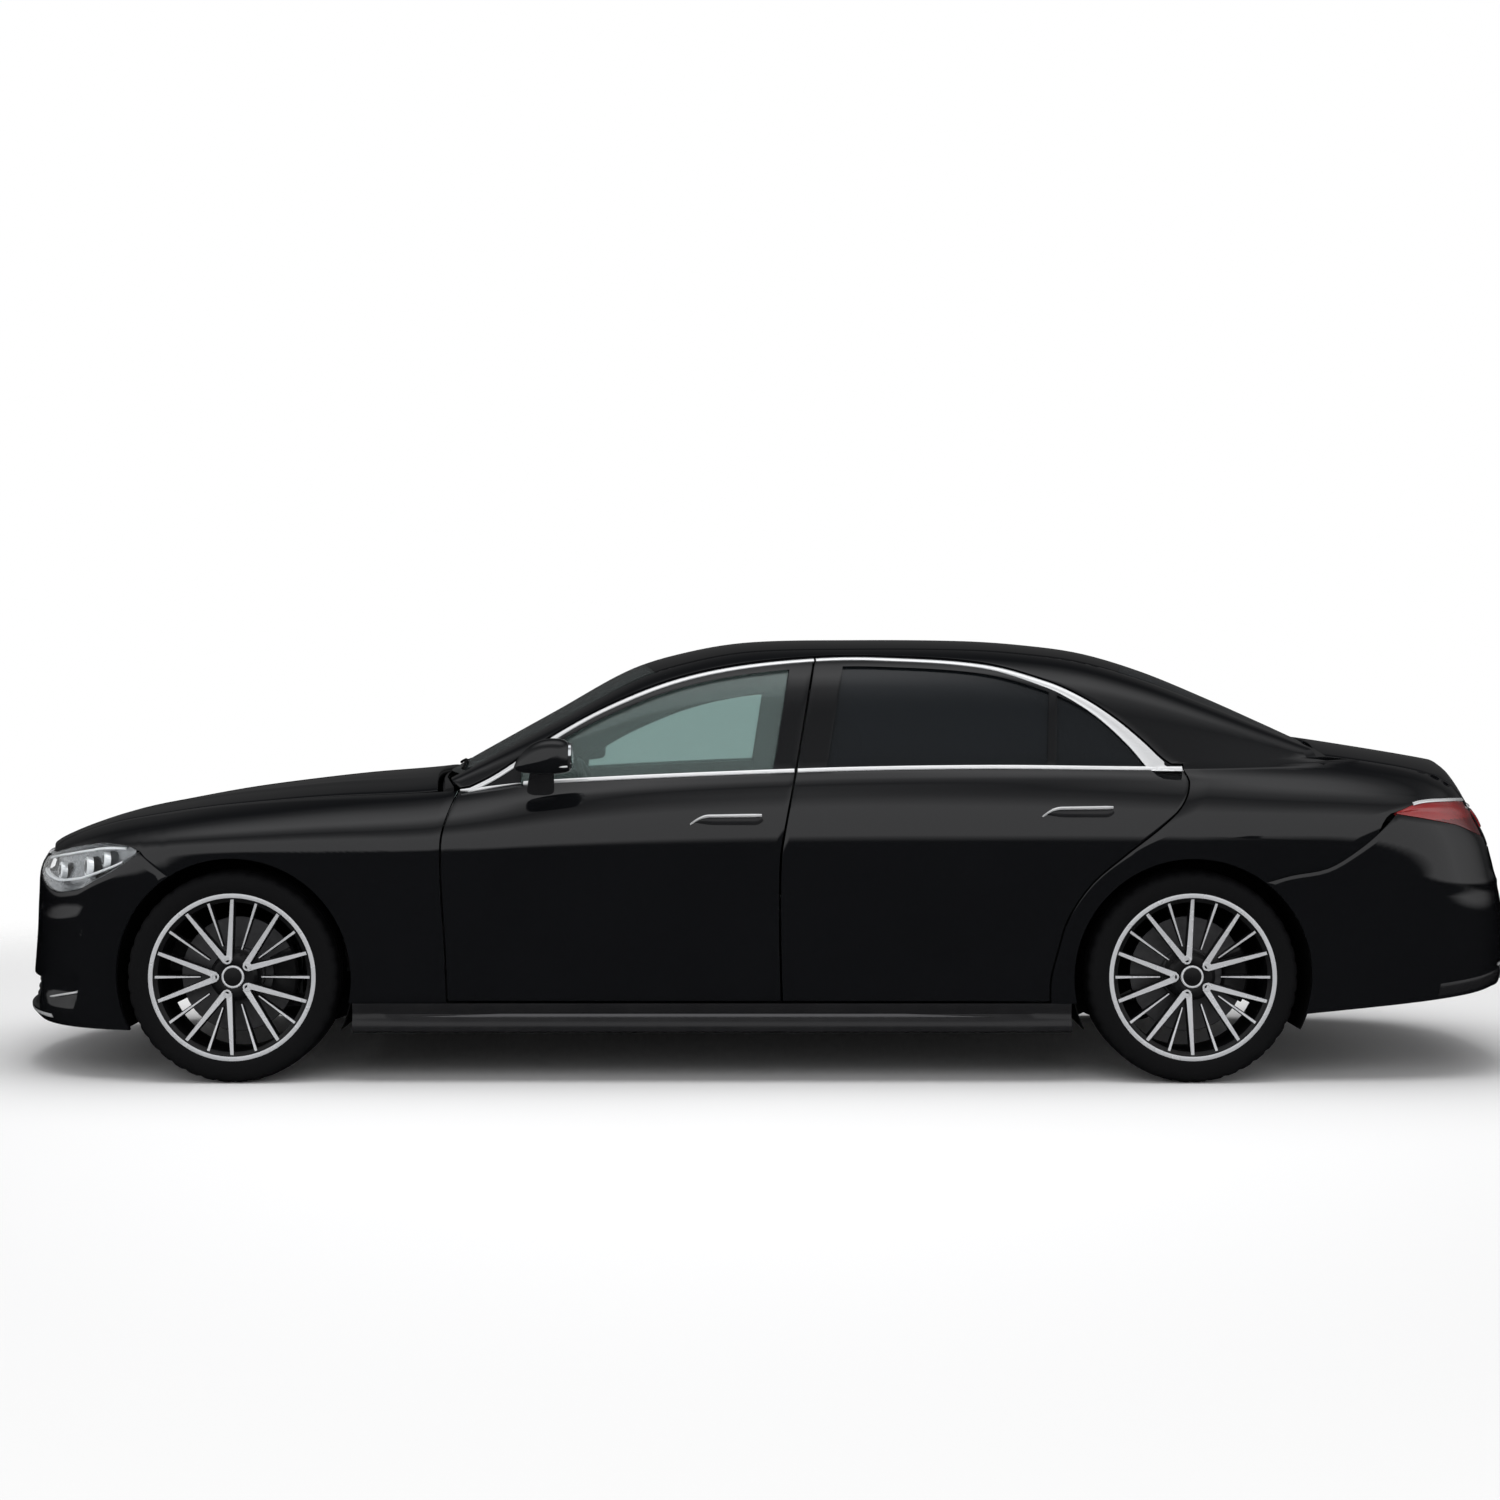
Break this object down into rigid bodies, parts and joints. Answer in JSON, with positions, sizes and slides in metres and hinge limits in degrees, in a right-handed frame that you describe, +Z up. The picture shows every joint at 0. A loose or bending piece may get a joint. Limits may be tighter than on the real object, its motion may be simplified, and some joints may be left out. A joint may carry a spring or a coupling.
{
  "type": "luxury sedan",
  "caption": "Long four-door saloon car with hinged doors, hood and trunk lid, steered front wheels and rolling tyres on spoked rims.",
  "frame": {"origin": "on the ground below the middle of the overall box", "axes": "+X forward to the nose, +Y to the left side, +Z up"},
  "size_m": [5.2905, 2.1484, 1.5034],
  "materials": {
    "paint": "gloss black paint",
    "roof": "gloss black roof",
    "glass": "clear tinted glass",
    "dark_glass": "dark privacy glass",
    "steel": "coated steel",
    "cast": "cast alloy",
    "pipe": "steel pipe",
    "sill": "gloss black trim",
    "liner": "matt black lining",
    "bright": "bright metal",
    "lamp_clear": "clear lamp cover",
    "lamp_red": "red lamp cover",
    "leather": "dark leather",
    "trim": "dark soft trim",
    "tyre": "black rubber",
    "rim": "machined alloy with dark pockets"
  },
  "bodies": {
    "chassis": {"floor_pan": "steel", "firewall": "steel", "side_frames": "paint", "centre_pillars": "steel", "roof_panel": "roof", "front_fenders": "paint", "front_bumper": "paint", "rear_bumper": "paint", "grille": "bright", "headlamps": "lamp_clear", "tail_lamps": "lamp_red", "windscreen": "glass", "rear_window": "dark_glass", "front_subframe": "steel", "rear_axle_unit": "steel", "engine_block": "cast", "front_seats": "leather", "rear_bench": "leather", "dashboard": "trim", "side_sills": "sill", "arch_liners": "liner", "exhaust": "pipe"},
    "hood_body": {"hood": "paint"},
    "trunk_body": {"trunk_lid": "paint", "trunk_lamps": "lamp_red"},
    "front_door_left_body": {"front_door_left": "paint", "front_glass_left": "glass", "mirror_left": "paint"},
    "rear_door_left_body": {"rear_door_left": "paint", "rear_glass_left": "dark_glass"},
    "knuckle_left_body": {"knuckle_left": "steel"},
    "front_door_right_body": {"front_door_right": "paint", "front_glass_right": "glass", "mirror_right": "paint"},
    "rear_door_right_body": {"rear_door_right": "paint", "rear_glass_right": "dark_glass"},
    "knuckle_right_body": {"knuckle_right": "steel"},
    "wheel_front_left": {"tyre_front_left": "tyre", "rim_front_left": "rim"},
    "wheel_front_right": {"tyre_front_right": "tyre", "rim_front_right": "rim"},
    "wheel_rear_left": {"tyre_rear_left": "tyre", "rim_rear_left": "rim"},
    "wheel_rear_right": {"tyre_rear_right": "tyre", "rim_rear_right": "rim"},
    "steering_wheel_body": {"steering_wheel": "trim"}
  },
  "joints": [
    {"name": "steer_left", "type": "hinge", "parent": "chassis", "child": "knuckle_left_body", "pos_m": [1.7855, 0.827, 0.356], "axis": [0, 0, 1], "range_deg": [-36, 36]},
    {"name": "steer_right", "type": "hinge", "parent": "chassis", "child": "knuckle_right_body", "pos_m": [1.7855, -0.827, 0.356], "axis": [0, 0, 1], "range_deg": [-36, 36]},
    {"name": "steering_column", "type": "hinge", "parent": "chassis", "child": "steering_wheel_body", "pos_m": [0.58915, 0.37, 0.905], "axis": [-0.9063, 0, 0.4226], "range_deg": [-469, 469]},
    {"name": "front_left_spin", "type": "hinge", "parent": "knuckle_left_body", "child": "wheel_front_left", "pos_m": [1.7855, 0.827, 0.356], "axis": [0, 1, 0], "continuous": true},
    {"name": "front_right_spin", "type": "hinge", "parent": "knuckle_right_body", "child": "wheel_front_right", "pos_m": [1.7855, -0.827, 0.356], "axis": [0, 1, 0], "continuous": true},
    {"name": "rear_left_spin", "type": "hinge", "parent": "chassis", "child": "wheel_rear_left", "pos_m": [-1.4305, 0.827, 0.356], "axis": [0, 1, 0], "continuous": true},
    {"name": "rear_right_spin", "type": "hinge", "parent": "chassis", "child": "wheel_rear_right", "pos_m": [-1.4305, -0.827, 0.356], "axis": [0, 1, 0], "continuous": true},
    {"name": "front_left_door", "type": "hinge", "parent": "chassis", "child": "front_door_left_body", "pos_m": [1.01323, 0.922, 0.6], "axis": [0, 0, -1], "range_deg": [0, 68]},
    {"name": "rear_left_door", "type": "hinge", "parent": "chassis", "child": "rear_door_left_body", "pos_m": [-0.11715, 0.927, 0.6], "axis": [0, 0, -1], "range_deg": [0, 70]},
    {"name": "front_right_door", "type": "hinge", "parent": "chassis", "child": "front_door_right_body", "pos_m": [1.01323, -0.922, 0.6], "axis": [0, 0, 1], "range_deg": [0, 68]},
    {"name": "rear_right_door", "type": "hinge", "parent": "chassis", "child": "rear_door_right_body", "pos_m": [-0.11715, -0.927, 0.6], "axis": [0, 0, 1], "range_deg": [0, 70]},
    {"name": "hood_hinge", "type": "hinge", "parent": "chassis", "child": "hood_body", "pos_m": [1.05, 0, 0.985], "axis": [0, -1, 0], "range_deg": [0, 55]},
    {"name": "trunk_hinge", "type": "hinge", "parent": "chassis", "child": "trunk_body", "pos_m": [-1.925, 0, 1.15], "axis": [0, 1, 0], "range_deg": [0, 80]}
  ],
  "couplings": [
    {"joint": "steer_right", "follows": "steer_left", "ratio": 1},
    {"joint": "steering_column", "follows": "steer_left", "ratio": 13}
  ]
}
